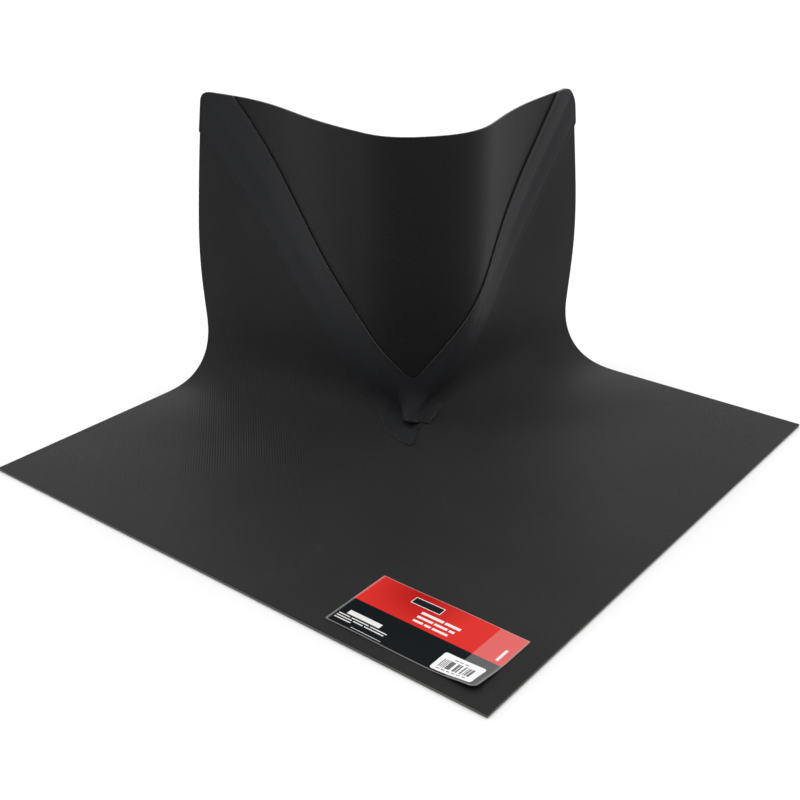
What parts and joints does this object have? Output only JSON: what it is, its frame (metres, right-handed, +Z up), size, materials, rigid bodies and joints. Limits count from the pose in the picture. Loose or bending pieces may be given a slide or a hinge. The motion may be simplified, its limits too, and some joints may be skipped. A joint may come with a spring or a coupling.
{
  "type": "flat roof outside corner flashing",
  "caption": "Moulded rubber outside corner for a flat roof: a square base with an upstand that wraps a kerb corner, sealed by two seam strips, with a label on the base.",
  "frame": {"origin": "middle of the bounding box's bottom face, on the roof surface", "axes": "+X along the base's wide diagonal, to the right-hand corner seen from the front; +Y from the front corner towards the kerb; +Z up"},
  "size_m": [0.4242, 0.323, 0.1652],
  "materials": {
    "membrane": "matt, fine woven grain",
    "insert": "matt, fine woven grain",
    "seam_strip": "satin",
    "label": "gloss print",
    "sticker": "satin print"
  },
  "bodies": {
    "root": {"membrane_sheet": "membrane", "corner_insert": "insert", "seam_strip_left": "seam_strip", "seam_strip_right": "seam_strip", "label_card": "label", "barcode_sticker": "sticker"}
  },
  "joints": []
}
